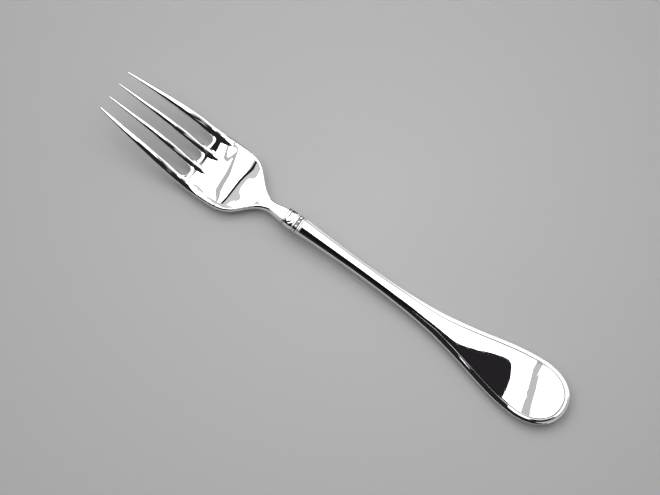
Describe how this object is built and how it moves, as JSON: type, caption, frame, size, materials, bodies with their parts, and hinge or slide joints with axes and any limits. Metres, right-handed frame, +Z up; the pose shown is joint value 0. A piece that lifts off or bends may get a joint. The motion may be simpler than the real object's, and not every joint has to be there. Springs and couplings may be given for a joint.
{
  "type": "dinner fork",
  "caption": "Table fork with long tapered tines, a dished palm, a beaded collar and a hollow handle that swells to a rounded end with a raised border.",
  "frame": {"origin": "middle of the fork's length and width, on the table it lies on", "axes": "+X from the tine tips to the round end of the handle, +Y across the fork, +Z up, to the side that the tines curve to"},
  "size_m": [0.206, 0.0272, 0.0104],
  "materials": {
    "head_silver": "polished silver",
    "handle_silver": "polished silver",
    "collar_silver": "polished silver",
    "bead_silver": "polished silver, tarnished between the beads",
    "filler": "cast cement"
  },
  "bodies": {
    "root": {"fork_head": "head_silver", "collar": "collar_silver", "front_wire": "collar_silver", "bead_ring": "bead_silver", "rear_wire": "collar_silver", "mouth_ring": "collar_silver", "handle_front_shell": "handle_silver", "handle_back_shell": "handle_silver", "handle_filler": "filler"}
  },
  "joints": []
}
